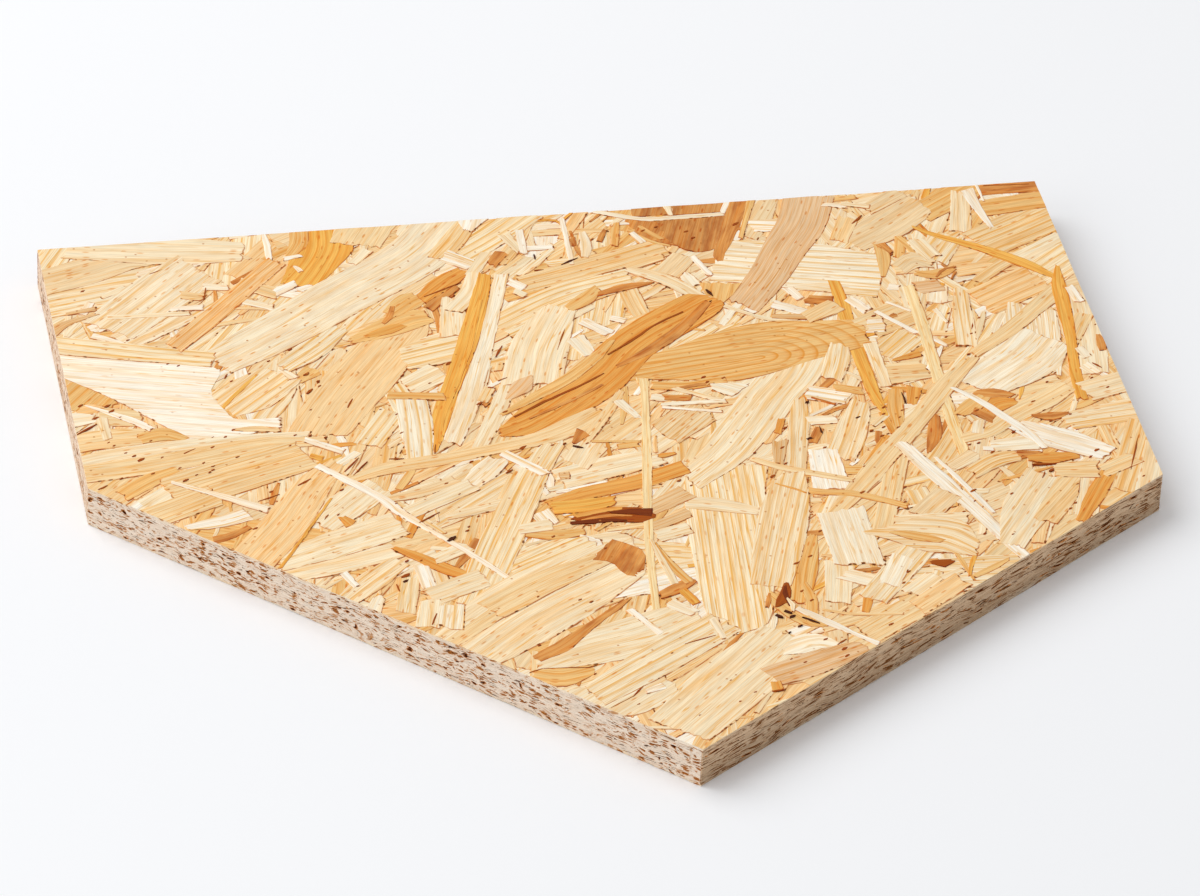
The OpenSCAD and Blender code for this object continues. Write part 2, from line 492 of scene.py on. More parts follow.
class Pile:
    """Strands laid over one another, and how high they lie at each place. A strand bends
    over the ones below it."""

    def __init__(self):
        self.cells, self.layer = {}, []

    def lay(self, finish, *stations, grain=None):
        """Lays a strand on top. It bridges the small hollows of the strands below."""
        strand = Strand(finish, stations, grain)
        covered = set()
        for k in range(int(strand.length / CELL) + 2):
            a, b = strand.ends(min(k * CELL, strand.length))
            across = int((a - b).length / CELL) + 2
            for m in range(across + 1):
                p = a.lerp(b, m / across)
                covered.add((round(p.x / CELL), round(p.y / CELL)))
        bed = {c: max(nearby(self.cells, c), default=0.0) for c in covered}
        strand.bed = {c: sum(nearby(bed, c)) / len(nearby(bed, c)) + STEP for c in covered}
        self.cells.update(strand.bed)
        self.layer.append(strand)

    def scatter(self, count, finishes, lengths, widths):
        """Strands strewn over the whole sheet, each tapered and a little bowed."""
        for _ in range(count):
            x, y = dice.uniform(LOWEST.x, HIGHEST.x), dice.uniform(LOWEST.y, HIGHEST.y)
            way = pointing(dice.gauss(50, 32))
            reach, width = dice.uniform(*lengths) / 2, dice.uniform(*widths)
            step = way * reach
            bow = Vector((-step.y, step.x)) * dice.uniform(-0.08, 0.08)
            self.lay(dice.choice(finishes), (x - step.x, y - step.y, width * dice.uniform(0.3, 1)),
                     (x + bow.x, y + bow.y, width),
                     (x + step.x, y + step.y, width * dice.uniform(0.3, 1)))

    def spread(self, finishes):
        """A closed bed of wide strands, row by row over the whole sheet and past its sides."""
        for x in range(-225, 235, 30):
            for y in range(-195, 205, 22):
                step = pointing(dice.gauss(50, 25)) * dice.uniform(34, 46)
                self.lay(dice.choice(finishes), (x - step.x, y - step.y, dice.uniform(20, 32)),
                         (x + step.x, y + step.y, dice.uniform(20, 32)))

    def take(self):
        """The strands laid since the last call."""
        taken, self.layer = self.layer, []
        return taken

    def press(self):
        """The pile's height evened out, so that the press leaves its top side flush."""
        crest = self.cells
        for turn in ((1, 0), (0, 1)) * 2:
            smooth = {}
            for i, j in crest:
                line = [crest[c] for c in ((i + n * turn[0], j + n * turn[1]) for n in range(-3, 4))
                        if c in crest]
                smooth[i, j] = sum(line) / len(line)
            crest = smooth
        self.crest = crest

    def height(self, strand, place):
        """Upper side of a strand at a place of the pressed face."""
        bed = reading(strand.bed, place, reading(self.cells, place))
        return THICK - reading(self.crest, place) + bed


def turned(vector, degrees):
    """The vector read in axes turned by that many degrees."""
    cos, sin = math.cos(math.radians(degrees)), math.sin(math.radians(degrees))
    return vector.x * cos + vector.y * sin, vector.y * cos - vector.x * sin


def saw_off(bm, cut_grain):
    """Cuts a strand off at the board's sides, a hair inside the saw's own plane. False where
    it lies wholly outside."""
    for start, along, out, _ in SIDES:
        beyond = sum((v.co.xy - start).dot(out) > 0 for v in bm.verts)
        if beyond == len(bm.verts):
            return False
        if beyond:
            cut = start + out * dice.uniform(-0.12, -0.02)
            bmesh.ops.bisect_plane(bm, geom=bm.verts[:] + bm.edges[:] + bm.faces[:], dist=1e-5,
                                   plane_co=(cut.x, cut.y, 0), plane_no=(out.x, out.y, 0),
                                   clear_outer=True)
            for face in bmesh.ops.holes_fill(bm, edges=[e for e in bm.edges if e.is_boundary],
                                             sides=0)["faces"]:
                face.material_index = 1
                for v in face.verts:
                    v[cut_grain] = with_grain(along)
    return True


def shaved(finish):
    """One strand's own colour, a little off its finish's, and the figure that its bands, their
    spacing in centimetres, its marks and its rings make up."""
    kind, *mood = finish.split()
    colour, bands, spacing, marks = FINISHES[kind]
    if mood:
        bands, spacing = MOODS[mood[0]]
    shade, warmth = dice.uniform(0.975, 1.015), dice.uniform(-0.01, 0.02)
    red, green, blue, _ = tone(*colour)
    colour = (red * shade, green * (shade - warmth / 2), blue * (shade - warmth), 1)
    return colour, (bands, spacing / 10, marks, float("rings" in mood))


def torn_outline(width, places, rows):
    """How far both torn ends run out at each row and both borders wander at each place."""
    ends = []
    for _ in range(2):
        slant, jag = dice.uniform(-0.22, 0.22) * width, min(0.9, 0.12 * width)
        ends.append([slant * (row - 0.5) + dice.uniform(-1, 1) * jag for row in rows])
    borders = [[dice.uniform(-0.16, 0.16) for _ in places] for _ in range(2)]
    for line in ends + borders:
        line[1], line[-2] = line[0], line[-1]
    return ends, borders


def make_strand(strand, pile, coarse, under):
    """The strand as an object, or None where it lies wholly outside the board."""
    length, width = strand.length, strand.width
    colour, looks = shaved(strand.finish)
    places = spaced(max(2, min(40, round(length / (FACE_LONG * coarse)))), RIM / length)
    rows = spaced(max(2, min(12, round(width / (FACE_WIDE * coarse)))), RIM / width)
    last, top_row = len(places) - 1, len(rows) - 1
    bm = bmesh.new()
    grain = bm.verts.layers.float_vector.new("grain")
    tint = bm.verts.layers.float_color.new("tint")
    figure = bm.verts.layers.float_color.new("figure")
    rim = bm.verts.layers.float.new("rim")
    cut_grain = bm.verts.layers.float.new("lengthwise")
    bmesh.ops.create_grid(bm, x_segments=last, y_segments=top_row, size=1)
    torn, wander = torn_outline(width, places, rows)
    own = dice.uniform(0, 900)  # its own place in the patterns of the finish
    for v in bm.verts:
        i = round((v.co.x + 1) / 2 * last)
        j = round((v.co.y + 1) / 2 * top_row)
        at, across = places[i] * length, rows[j] * 2 - 1
        a, b = strand.ends(at)
        half = (a - b) / 2
        way = Vector((half.y, -half.x)).normalized()
        push = sum(torn[e][j] * (1, 1, 0.4)[n] for e, n in ((0, i), (1, last - i)) if n < 3)
        slip = sum(wander[e][i] * (1, 1, 0.3)[n] for e, n in ((0, j), (1, top_row - j)) if n < 3)
        place = (a + b) / 2 + half * across + way * push + half.normalized() * slip
        border = i in (0, last) or j in (0, top_row)
        lift = SWAY * noise.noise(Vector((place.x * 0.06, place.y * 0.06, own))) - SUNK * border
        v.co = (place.x, place.y, pile.height(strand, place) + lift)
        if "rings" in strand.finish:
            run, side = turned(place - HEART, HEART_TURN)
        elif strand.grain is None:
            run, side = at + push, across * half.length + slip + 7 * own
        else:
            run, side = turned(place, strand.grain)
            side += 7 * own
        v[grain] = (run, side, own)
        v[tint], v[figure] = colour, looks
        # rim: up to 1 on the borders turned away from the key lamp, where the line along them is
        # painted shadow, down to 0.1 on those facing it
        borders = ((j == top_row, half), (j == 0, -half), (i == last, way), (i == 0, -way))
        v[rim] = max((0.55 + 0.45 * outward.normalized().dot(PAINTED_SHADOW_SIDE)
                      for on_it, outward in borders if on_it), default=0)
    for face in thickened(bm, bm.faces[:], (0, 0, -STRAND))[1]:
        face.material_index = 2
    if not saw_off(bm, cut_grain):
        bm.free()
        return None
    # the hidden lower side needs one face only
    lower = [face for face in bm.faces if face.material_index == 2]
    for face in bmesh.ops.dissolve_faces(bm, faces=lower)["region"]:
        face.material_index = 0
    if under:
        turned_over = Matrix.Translation((0, 0, THICK + FOOT)) @ Matrix.Diagonal((1, 1, -1, 1))
        bmesh.ops.transform(bm, matrix=turned_over, verts=bm.verts)
    bmesh.ops.recalc_face_normals(bm, faces=bm.faces)
    return finish_piece(bm, "strand", pressed, sawn)


def gather(layer, pile, name, coarse=1.0, under=False):
    """The layer's strands joined into one piece of the board. coarse makes the faces of their
    meshes larger, and under turns them over to the underside."""
    strands = [s for s in (make_strand(strand, pile, coarse, under) for strand in layer) if s]
    with bpy.context.temp_override(active_object=strands[0], object=strands[0],
                                   selected_objects=strands, selected_editable_objects=strands):
        bpy.ops.object.join()
    strands[0].name = strands[0].data.name = name
    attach(strands[0], "root")


# Finish of a shaved strand: fine fibres, late wood bands that wander across it, short brown
# marks along the grain and a thin broken dark line along its borders, partly resin and
# partly painted shadow on the side turned away from the key lamp.
pressed, tree, surface = new_finish("pressed_face_strands")
figure = add("Attribute", attribute_name="figure").outputs
bands, spacing, marks = add("SeparateColor", {0: figure["Color"]}).outputs
spacing = times(spacing, 10)
rings = figure["Alpha"]
grain = attribute("grain", "Vector")
rim = attribute("rim")
u, v, _ = add("SeparateXYZ", {0: grain}).outputs
place = millimetres()


def streaks(along, across, detail=2.0):
    """The same along the grain. The lower along and across, the longer and wider its streaks."""
    return cloud(stretched(grain, along, across), detail)


fibres = streaks(0.05, 1.3, 3.0)
fine = streaks(0.12, 2.1)
clouds = streaks(0.03, 0.12)
warm = between(streaks(0.018, 0.22), 0.48, 0.72)
thread = times(near_middle(streaks(0.02, 0.5, 1.0), 0.035, 0.0),
               between(streaks(0.06, 0.5, 1.0), 0.45, 0.6))
hair = near_middle(streaks(0.015, 1.1, 1.0), 0.07, 0.0)

# late wood bands, straight along the grain or curved round the heart of the log
forward = times(calc("MAXIMUM", u, 0), 0.5)
far = calc("SQRT", plus(calc("POWER", forward, 2), calc("POWER", v, 2)))
offset = plus(times(far, rings), times(v, calc("SUBTRACT", 1, rings)))
cycle = calc("FRACT", plus(calc("DIVIDE", offset, spacing), times(streaks(0.009, 0.04, 1.0), 2.6)))
profile = add("ValToRGB", {0: cycle})
ramp = profile.color_ramp
ramp.elements[0].color = ramp.elements[1].color = (0, 0, 0, 1)
for position, value in ((0.5, 0.04), (0.74, 0.45), (0.87, 1.0), (0.94, 0.75)):
    ramp.elements.new(position).color = (value, value, value, 1)
late = calc("MULTIPLY", times(profile.outputs[0], bands), scaled(streaks(0.03, 0.2, 1.0), 1.7, 0.1),
            clamp=True)

# brown marks along the grain, pinholes, stains, and at the borders nicks and a dark line of
# resin and painted shadow, both strongest on the side turned away from the key lamp
dash = between(scattered(stretched(grain, 0.13, 0.5), 0.12, "2D"), 0.28, 0.1)
dash = calc("MULTIPLY", marks, dash, clamp=True)
pinhole = between(scattered(stretched(place, 0.24, 0.24), 0.06, "2D"), 0.15, 0.08)
pinhole = calc("MULTIPLY", marks, pinhole, clamp=True)
blotch = times(between(streaks(0.07, 0.25, 5.0), 0.4, 0.68),
               calc("MULTIPLY_ADD", marks, 2.0, -1.8, clamp=True))
busy = between(cloud(stretched(place, 0.06, 0.06), 1.0), 0.4, 0.62)
nick = scattered(stretched(place, 0.36, 0.36), times(busy, 0.85), "2D")
halo = times(between(nick, 0.48, 0.25), between(rim, 0.05, 0.3))
nick = times(between(nick, 0.34, 0.2), between(rim, 0.2, 0.45))
# painted shadow and resin: the dark line along the borders, heaviest where the rim is turned from
# the light
border = times(between(rim, 0.3, 0.75), between(cloud(stretched(place, 0.12, 0.12)), 0.4, 0.54))

level = plus(times(fine, 0.42), times(fibres, 0.34), times(clouds, 0.18), 0.585)
colour = blend(1.0, attribute("tint", "Color"), grey(level), "MULTIPLY")
deeper = blend(1.0, colour, tone(241, 196, 122), "MULTIPLY")
lines = calc("MULTIPLY_ADD", thread, 0.7, times(hair, scaled(bands, 0.4, 0.22)), clamp=True)
for amount in (times(warm, 0.4), late, lines):
    colour = blend(amount, colour, deeper)
for amount, stain in ((times(blotch, 0.6), (190, 132, 80)), (times(dash, 0.85), (234, 172, 88)),
                      (times(halo, 0.8), (232, 168, 86)), (times(border, 0.9), (200, 124, 52))):
    colour = blend(amount, colour, tone(*stain), "MULTIPLY")
colour = blend(times(pinhole, 0.8), colour, tone(190, 114, 42))
colour = blend(nick, colour, tone(122, 64, 20))
tree.links.new(colour, surface["Base Color"])
tree.links.new(scaled(fibres, 0.25, 0.5), surface["Roughness"])
surface["Specular IOR Level"].default_value = 0.15
raised = calc("SUBTRACT", plus(times(fibres, 0.5), times(late, 0.4)), plus(border, nick))
tree.links.new(add("Bump", {"Strength": 0.5, "Distance": 0.0001, "Height": raised}).outputs[0],
               surface["Normal"])

# The lower strands of the face, scattered about the sheet's own direction, then the fine
# splinters that fill the gaps.
MIXED = ["cream", "straw", "ivory", "tan", "tan", "banded", "honey", "white", "peach",
         "cream lined", "tan fine", "tan lined", "straw lined", "peach", "dun"]
FINES = ["white", "white", "ivory", "cream", "cream", "straw", "tan", "honey", "honey", "gold",
         "peach", "dun", "amber", "rust", "rust"]
face = Pile()
face.spread(MIXED)
face.scatter(160, MIXED, (50, 120), (8, 28))
face.scatter(240, MIXED, (25, 60), (4, 12))
face.scatter(500, FINES, (6, 30), (1.5, 4.5))
lower_layer = face.take()

# The uppermost strands, each laid where it shows. After its finish come its stations
# along the grain: x, y and width, or the two border points themselves.
lay = face.lay
# back left corner and the left end of the back edge
lay("banded", (-217, 165, 15), (-203, 190, 15))
lay("dun", (-219, 168, -219, 150), (-195, 177, -195, 157), (-178, 180, -176, 166),
    (-171, 172, -170, 168))
lay("cream", (-203, 184, 14), (-160, 177, 20), (-130, 173, 14))
lay("faint", (-190, 112, 14), (-160, 132, 16))
lay("faint", (-193, 122, 24), (-170, 145, 28), (-150, 163, 26), grain=45)
lay("cream", (-192, 131.5, 3), (-158, 130, 3))
lay("taupe", (-219, 121, 7), (-208, 130, 3.5), (-196, 134.5, 1.5))
lay("taupe", (-209, 136, 2), (-196, 138.5, 3))
lay("white", (-200, 119, 4), (-188, 112, 2))
lay("tan", (-160, 144, 6), (-151, 141, 5))
lay("white", (-166, 134, 3), (-152, 134, 4))
lay("ivory", (-150, 149, 5), (-140, 147, 4))
lay("white", (-119, 142, 7), (-108, 146, 5))
lay("ivory", (-136, 137, 4), (-123, 130, 5))
lay("white", (-120, 142, 6), (-110, 137, 5))
lay("tan", (-135, 150, 8), (-120, 140, 8))
lay("honey lined", (-219, 70, 14), (-208, 80, 18), (-196, 70, 8), grain=50)
lay("tan", (-205, 62, 12), (-188, 58, 12))
lay("honey", (-122, 76, 5), (-113, 84, 9))
lay("ivory", (-128, 84, 3), (-122, 79, 5))
lay("cream lined", (-97, 103, 16), (-72, 132, 14), (-55, 147, 8))
lay("peach", (-95, 104, 8), (-78, 110, 16), (-63, 112, 18))
lay("peach smooth", (-131, 41, -108, 33), (-118, 66, -93, 55), (-105, 86, -80, 72),
    (-92, 101, -68, 92), (-80, 113, -62, 106), (-73, 124, -60, 118))
lay("honey smooth", (-95, 102, 4), (-82, 108, 12), (-68, 115, 15), (-60, 116, 9))
lay("amber smooth", (-89, 104, 2), (-80, 107.5, 6), (-72, 111, 4))
lay("straw lined", (-158, 72, -151, 54), (-146, 81, -134, 60), (-133, 88, -120, 76), grain=45)
lay("gold", (-161, 52.5, 1.2), (-146, 72, 2), (-137, 83, 1))
lay("ivory", (-126, 84.5, 3), (-122, 78, 5))
lay("gold", (-117, 149, -105, 140), (-113, 160, -92, 157), (-110, 173, -83, 171),
    (-105, 190, -84, 190))
lay("white", (-121, 141, 5), (-111, 147, 4.5))
lay("white", (-111, 141.5, 4), (-105, 144.5, 3))
lay("honey lined", (-112, 166, 3), (-106, 176, 8), (-104, 188, 8))
lay("white", (-114, 165.5, 3), (-106, 167, 2.5))
lay("white", (-110, 160, 2), (-108, 155, 2.5))
lay("tan smooth", (-92, 177, -73, 167.5), (-88, 190, -60, 190), grain=60)
lay("cream", (-62, 176, 6), (-53, 190, 12))
lay("white", (-219, 108, -219, 94), (-185, 98.5, -199, 74.5), (-152, 89, -182, 55),
    (-157.5, 72, -173, 43), (-153, 58, -168.5, 39), (-149, 52.5, -150, 41), (-131, 51.5, -134, 45),
    grain=-15)
lay("tan", (-152, 45.5, 1.5), (-143, 45, 4), (-133, 43, 3))
lay("cream lined", (-126, 86, 8), (-112, 98, 13), (-98, 112, 8))
lay("pale", (-152, 93, 18), (-130, 108, 24), (-90, 138, 27), (-60, 160, 27), (-38, 189, 26))
lay("banded", (-219, 115, 13), (-153, 95.5, 11))
lay("rose", (-168, 106.5, 9), (-150, 126, 10), (-117, 164, 9))
lay("cream", (-86, 158, 4), (-78, 168, 6))
lay("tan lined", (-25, 150, 6), (-15, 165, 7), (-5, 187, 6))
lay("tan lined", (-18, 134, 12), (10, 143, 14), (47, 155, 13))
lay("banded", (-42, 158, 14), (-25, 171, 15), (-5, 188, 14))
lay("straw", (-14, 159, 5), (-19, 172, 6))
# under and beside the long pale strand
lay("honey", (-77, 119, 6), (-67, 128, 12), (-62, 131, 8))
lay("rust lined", (-60, 124, 7), (-50, 133, 8))
lay("rust", (-60, 121, 5), (-46, 137, 6))
lay("amber", (-62, 128, 6), (-50, 140, 10), (-40, 148, 7))
lay("banded", (-76, 86, 15), (-62, 91, 20), (-50, 98, 16), grain=15)
lay("cream", (-78, 66, 12), (-62, 76, 14))
lay("cream", (-53, 100, 12), (-48, 128, 10))
lay("banded", (-33, 104, 18), (0, 124, 18), (28, 133, 14))
lay("cream", (-27, 62, 25), (-18, 90, 24), (-5, 116, 13))
lay("honey", (-2, 114, 5), (6, 120, 8), (13, 127, 5))
lay("white", (2, 105, 6), (12, 94, 6))
lay("ivory", (-3, 93, 9), (1, 80, 6))
lay("tan lined", (-50, 158, 8), (-41, 170, 11), (-34, 181, 9))
lay("white lined", (-47, 160, 9), (-36, 151, 8))
lay("straw", (-38, 144, 5), (-28, 160, 6))
lay("cream", (-50, 118, 8), (-40, 132, 9), (-36, 146, 6))
lay("ivory", (-66, 25, 8), (-56, 50, 10), (-46, 80, 10), (-37, 105, 7), (-25, 143, 6))
lay("cream", (-56, 20, 6), (-44, 45, 8), (-37, 62, 6))
lay("gold", (-73.5, 20, 1.5), (-70.5, 33, 6), (-67, 45, 8), (-60.5, 62, 7.5), (-49.5, 90, 8.5),
    (-46, 100, 8.5), (-35, 133, 7), (-32, 144, 5))
lay("gold", (-71, 25, 1), (-66, 45, 2), (-58, 64, 2.4), (-48, 90, 2.4), (-37, 125, 1.5))
lay("white", (-23, 137.5, 5), (-17, 131, 5))
lay("cream", (-22, 130, 4), (-18, 125.5, 4))
lay("white", (14, 105, 4), (20, 102, 4))
lay("rust", (-28, 150.5, 5), (-22, 159, 6))
lay("rust", (9, 160, 2), (9, 166, 3))
lay("gold", (-3, 181, 1.2), (5, 180, 1.5), (7, 176, 1.2))
lay("gold", (7, 179, 1.2), (14, 187, 1.5))
lay("white", (7.5, 181, 2.5), (5.5, 146, 2))
lay("ivory", (14, 170, 3), (14, 160, 5), (12, 151, 3))
lay("honey", (26, 158, 3), (28, 168, 4), (30, 175, 2))
lay("white", (-12, 175, 4), (-13, 157, 3))
lay("white", (-34, 177, 3), (-30, 188, 16))
lay("rust", (12, 123, 3), (25, 127, 5), (37, 129, 1))
lay("rust", (-80, 113, 1.5), (-77, 117, 3), (-74, 125, 2))
# middle of the back edge
lay("brown", (38, 183, 8), (53, 182, 7), grain=70)
lay("brown", (55, 182, 8), (80, 182, 8), grain=70)
lay("cream", (53.5, 187, 4), (54, 178, 2))
lay("honey", (35, 172, 8), (46, 164, 14), (52, 158, 8))
lay("rust", (36, 177, 35, 167), (44, 178, 43, 160), (54, 177, 52, 154), grain=65)
lay("brown", (49, 177, 47, 158), (60, 177, 58, 150), (72, 177, 68, 151), (79, 177, 76, 163),
    grain=70)
lay("honey", (39, 172, 2), (43, 165, 3), (47, 160, 2))
lay("ivory", (22, 185, 3), (42, 176.5, 3), (60, 176, 3), (77, 176.5, 3))
lay("white", (76, 177, 2.5), (81, 187, 3))
lay("ivory lined", (66, 142, 30), (100, 134, 36), (134, 121, 32), grain=-14)
lay("white lined", (86, 166, 9), (99, 165, 10), grain=-10)
lay("rust", (91, 188, 82, 188), (84, 172, 73, 165), (76, 155, 66, 146), (70, 142, 67, 141))
lay("pink", (71, 107, 15), (86, 128, 17), (97, 147, 19), (108, 165, 21), (116, 186, 22))
lay("honey", (91.5, 188, 3.5), (80, 157, 2))
lay("dun", (43, 134, 12), (54, 147, 11))
lay("white", (57, 146, 3), (62, 131, 3))
lay("white", (35, 167, 3), (38.5, 159, 3))
lay("ivory", (51, 134, 5), (54, 124, 8))
lay("tan", (28, 141, 5), (45, 148, 5))
lay("honey", (60, 110, 6), (65, 125, 18))
lay("straw", (28, 140, 4), (42, 131, 8), (56, 114, 6), (62, 109, 2.5), (72, 101, 2.5), (80, 96, 3),
    (92, 94.5, 1.5))
# the broad lined strand, then the two crossing amber ones that lie on it
lay("striped", (17, -117, 2), (25, -106, 24), (31, -60, 31), (36, -25, 33), (42, -3, 32), grain=84)
lay("cream", (20, -27, 8), (34, -31, 9), (48, -37, 5))
lay("cream broad", (20, -9, 29, -17), (33, 8, 48, -3), (45, 27, 66, 18), (56, 43, 80, 38),
    (66, 57, 91, 51), (73, 68, 100, 66))
lay("gold lined", (113, 22, 2), (111.5, 34, 5), (111.3, 50, 6), (111.5, 80, 6), (112.5, 105, 6),
    (112.5, 120.5, 5))
lay("honey rings", (8, 72, 15, 60), (32, 79, 32, 58), (52, 88, 55, 54), (75, 94, 72, 57),
    (95, 93, 90, 64), (118, 91, 117.5, 72))
lay("amber lined", (-46, 32, -45, 27.5), (-35, 45, -30, 27), (-20, 60, -8, 40), (-1, 78, 9, 54),
    (10, 90, 25, 75), (25, 103, 35, 84), (38, 112, 47, 93), (50, 119, 60, 104), (57, 118, 63, 109))
lay("honey", (-43, 42, 2), (-28, 52.5, 5), (-12, 63.5, 6), (3, 78, 5), (12, 89, 2))
lay("rust lined", (10, 70, 2), (25, 79.5, 5), (38, 90, 6), (48, 101, 5), (57, 112, 3))
lay("bark", (-38, 40, 0.8), (-24, 49, 1.2), (-8, 58, 1), (4, 66, 0.8))
lay("rust", (-32, 38, 1), (-14, 48, 1.8), (2, 58, 1.2))
lay("bark", (8, 79, 0.8), (20, 88, 1.2), (32, 98, 1), (45, 106, 0.8))
lay("white", (116, 107, 5), (122, 97, 6))
lay("white", (92, 118, 5), (96, 109, 4))
lay("white", (83, 107, 6), (97, 99, 5))
lay("white", (71, 105, 2), (75, 101, 2.5))
lay("rust", (98, 109, 6), (109, 106, 7))
lay("taupe", (81, 98, 3), (96, 96, 4))
lay("tan", (95, 95, 8), (110, 103, 10), grain=35)
lay("tan", (118, 84, 16), (140, 96, 20), grain=25)
lay("rust", (130, 91, 2), (133, 93, 3))
lay("white", (125, 96, 2.5), (139, 78, 2.5))
lay("white", (144.5, 74, 3), (149, 67.5, 2))
lay("white", (131, 102.5, 1.5), (140, 94.5, 1.5))
lay("white lined", (119, 86, 10), (127, 86, 10))
lay("banded", (122, 64, 14), (137, 78, 14), grain=45)
# back right corner
lay("honey", (160, 166, 14), (190, 187, 16))
lay("straw", (174, 150, 10), (181, 180, 8))
lay("dun", (126, 147, 14), (145, 160, 20), (162, 174, 16))
lay("dun", (138, 172, 8), (155, 184, 10))
lay("white", (120, 178.5, 3), (130, 176, 4))
lay("straw", (128, 178, 3), (140, 174, 3))
lay("ivory", (125, 166, 5), (128, 173, 3))
lay("honey", (134, 121, 2), (137, 134, 6), (138, 145, 6))
lay("tan", (121, 150, 8), (129, 167, 9))
lay("honey", (143.5, 134, 5), (148, 150, 5))
lay("rust", (138, 146, 5), (141.5, 138, 2))
lay("honey", (147, 150, 3), (152, 138, 6), (152.5, 127, 4))
lay("tan", (140, 126, 8), (150, 126, 8))
lay("white", (134, 114, 5), (139, 112, 4))
lay("ivory", (152, 99, 9), (155, 112, 9))
lay("straw lined", (157, 66, 9), (160, 85, 9), (164, 108, 6))
lay("ivory", (150, 95, 2.5), (153, 84, 1.5))
lay("cream lined", (158, 130, 12), (168, 150, 16), grain=55)
lay("dun", (142, 126, 9), (150, 132, 12), (157, 128, 6))
lay("honey", (148, 122, 3), (156, 120, 7), (165, 124, 3))
lay("rust", (156, 118, 1), (160, 123, 1.6), (166, 124.5, 0.8))
lay("rust", (162, 116, 0.8), (165, 121, 1.2))
lay("pink", (146, 111, 9), (157, 112, 9))
lay("cream", (153, 147, 8), (158, 132, 9))
lay("tan lined", (180, 140, 22), (219, 161, 24))
lay("cream", (192, 124, 12), (219, 140, 14))
lay("banded", (198, 112, 20), (219, 129, 18))
lay("peach lined", (170, 97, 20), (199, 113, 20))
lay("rust", (190, 181, 8), (219, 182, 10))
lay("honey lined", (187, 167, 12), (219, 171, 13))
lay("white", (184, 182, 7), (185, 172, 5), (188, 152, 2))
lay("white", (189, 188, 1.5), (189.5, 172, 1))
lay("cream", (203, 40, 16), (208, 70, 18), (212, 100, 18))
lay("tan", (200, 62, 7), (212, 84, 8))
lay("ivory fine", (180, 42, 22), (184, 65, 26), (191, 92, 20), grain=80)
lay("ivory", (148, 40, 162, 31), (158, 55, 178, 37), (170, 66, 192, 47), (184, 78, 199, 60))
lay("tan", (158, 60, 5), (172, 71, 7), (185, 83, 8), (205, 103, 9))
lay("rust", (212.5, 56, 3), (213.5, 62, 4.5), (213.5, 68, 2))
lay("gold", (154, 157, 1.5), (163, 149, 3), (180, 137, 5), (197, 122, 6), (206, 112, 3))
lay("gold lined", (209, 120, 1.5), (206, 106, 6), (204.5, 92, 6.5), (202, 70, 5), (199.5, 55, 4.5),
    (197.5, 42, 5), (195.5, 23, 5))
lay("white", (210, 104, 4), (212, 92, 5))
lay("ivory", (203, 60, 4), (205, 52, 5))
lay("ivory", (202, 47, 6), (206, 40, 5))
# left end
lay("tan", (-219, 44, 14), (-195, 46, 12), (-176, 44, 8))
lay("honey", (-190, 44, 7), (-180, 46, 9), (-171, 41, 3))
lay("cream", (-219, 30, 8), (-195, 35, 9), (-150, 39, 5), (-122, 39, 3))
lay("tan", (-219, 22, 12), (-180, 27, 12), (-140, 34, 9), (-116, 33, 5))
lay("honey", (-202, 6, 8), (-190, 15, 9), (-178, 21, 5))
lay("tan fine", (-183, 5, 22), (-155, 15, 24), (-125, 25, 20))
lay("tan fine", (-192, -10, 14), (-165, 2, 14), grain=25)
lay("white lined", (-180, -19, 4), (-165, -16, 8), (-154, -12, 9))
lay("rust", (-170, -28, 5), (-163, -26, 4), (-155, -21, 3))
lay("cream", (-128, -22, 18), (-100, 0, 16), grain=45)
lay("cream", (-147, -55, 10), (-125, -50, 13), (-100, -44, 10))
lay("straw lined", (-126, -76, 8), (-113, -63, 12), (-99, -51, 8))
lay("cream", (-147, -46, 12), (-120, -36, 17), (-95, -26, 16))
lay("white", (-123, -56, 3.5), (-119, -66, 3))
lay("peach", (-160, -47, 19), (-140, -20, 19), (-124, 6, 14), (-114, 18, 6))
lay("gold", (-147, -50, 1.5), (-120, -6, 1))
lay("amber", (-101, -42, 2), (-93, -48.5, 5), (-82, -59, 6.5), (-74, -65, 4.5), (-64, -71, 1.5))
lay("amber", (-118, -19, 3), (-115, -25, 6))
lay("gold", (-124, 24, 3), (-119, 21, 3.5))
lay("straw", (-107, 19, 3), (-112, 9, 2))
lay("amber", (-108, 4, 4), (-101, 10, 5))
lay("ivory", (-219, 60, 12), (-206, 61, 6))
lay("straw", (-203.5, 61, 5), (-203, 45, 4))
lay("white", (-209, 70, 1.2), (-198, 62, 3), (-190, 55.5, 4), (-184.5, 49.5, 3.5))
lay("white", (-182, 13, 2), (-165, 2, 3.5), (-150, -8, 4.5), (-146, -11, 4))
lay("white", (-124.5, 35, 3.5), (-110, 24.5, 4))
# middle of the board
lay("banded", (-100, 28, 12), (-86, 50, 12))
lay("ivory lined", (-77, 59, 13), (-78.5, 38, 14), (-81, 12, 9))
lay("honey lined", (-86, 61.5, 5), (-63, 57.5, 5.5))
lay("amber", (-35, -21, 5), (-20, -16, 8), (5, -10, 9), (25, -3, 9))
lay("gold", (-34, -24, 8), (-20, -24, 9), (-8, -22, 5))
lay("taupe", (4, -30, 8), (22, -20, 10))
lay("taupe", (3, -42, 6), (20, -34, 6))
lay("cream", (4, -48, 8), (18, -44, 8))
lay("white lined", (-39, -26, 9), (-36, -35, 8))
lay("honey", (-49, -39, 4), (-36, -42, 7), (-24, -41, 4))
lay("white", (-28, -45, 6), (-20, -52, 10))
lay("cream", (-28, -5, 14), (0, 2, 14), (15, 5, 10))
lay("straw", (-20, 5, 14), (-8, 18, 12), grain=60)
lay("taupe", (-27.5, -3, 5), (-22.5, -3, 5))
